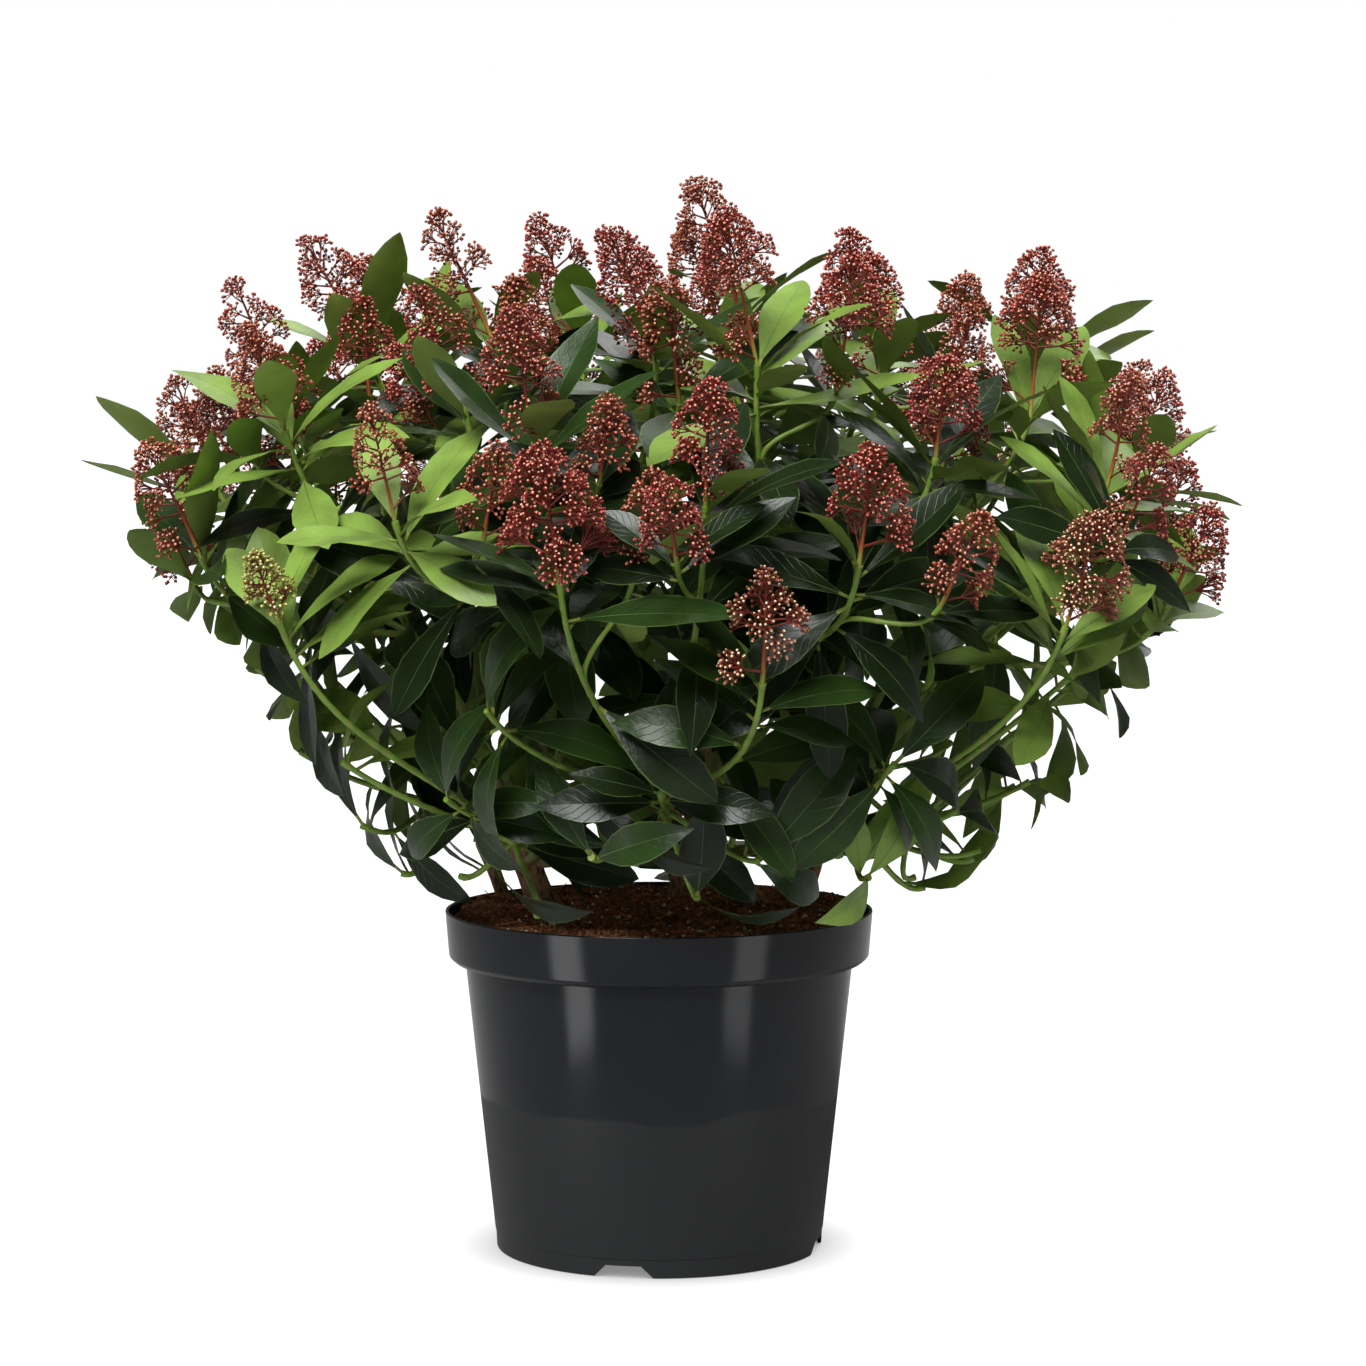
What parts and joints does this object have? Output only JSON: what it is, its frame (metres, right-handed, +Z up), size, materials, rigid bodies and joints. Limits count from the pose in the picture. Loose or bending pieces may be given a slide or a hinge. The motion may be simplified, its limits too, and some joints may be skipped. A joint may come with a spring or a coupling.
{
  "type": "potted flowering shrub",
  "caption": "Evergreen shrub with whorls of oval leaves and cones of red flower buds, in a round plastic nursery pot with a deep rim band.",
  "frame": {"origin": "middle of the pot's foot, on the flat boss that stands on the ground", "axes": "+Z up from the ground; +X to the right and +Y to the back as the plant is seen from its front"},
  "size_m": [0.7564, 0.6673, 0.6914],
  "materials": {
    "pot_plastic": "satin anthracite polypropylene",
    "compost": "rough moist peat",
    "bark": "flaking grey-brown bark",
    "green_bark": "smooth green bark",
    "foliage": "glossy dark green leaves and matt dark red buds"
  },
  "bodies": {
    "root": {"pot": "pot_plastic", "soil": "compost", "stem_left": "bark", "stem_left_side": "bark", "stem_back": "bark", "stem_middle": "bark", "stem_right": "bark", "bough_01": "green_bark", "bough_02": "green_bark", "bough_03": "green_bark", "bough_04": "green_bark", "bough_05": "green_bark", "bough_06": "green_bark", "bough_07": "green_bark", "bough_08": "green_bark", "bough_09": "green_bark", "bough_10": "green_bark", "bough_11": "green_bark", "bough_12": "green_bark", "bough_13": "green_bark", "bough_14": "green_bark", "bough_15": "green_bark", "bough_16": "green_bark", "bough_17": "green_bark", "bough_18": "green_bark", "bough_19": "green_bark", "bough_20": "green_bark", "bough_21": "green_bark", "bough_22": "green_bark", "bough_23": "green_bark", "bough_24": "green_bark", "bough_25": "green_bark", "foliage_01": "foliage", "foliage_02": "foliage", "foliage_03": "foliage", "foliage_04": "foliage", "foliage_05": "foliage", "foliage_06": "foliage", "foliage_07": "foliage", "foliage_08": "foliage", "foliage_09": "foliage", "foliage_10": "foliage", "foliage_11": "foliage", "foliage_12": "foliage", "foliage_13": "foliage", "foliage_14": "foliage", "foliage_15": "foliage", "foliage_16": "foliage", "foliage_17": "foliage", "foliage_18": "foliage", "foliage_19": "foliage", "foliage_20": "foliage", "foliage_21": "foliage", "foliage_22": "foliage", "foliage_23": "foliage", "foliage_24": "foliage", "foliage_25": "foliage"}
  },
  "joints": []
}
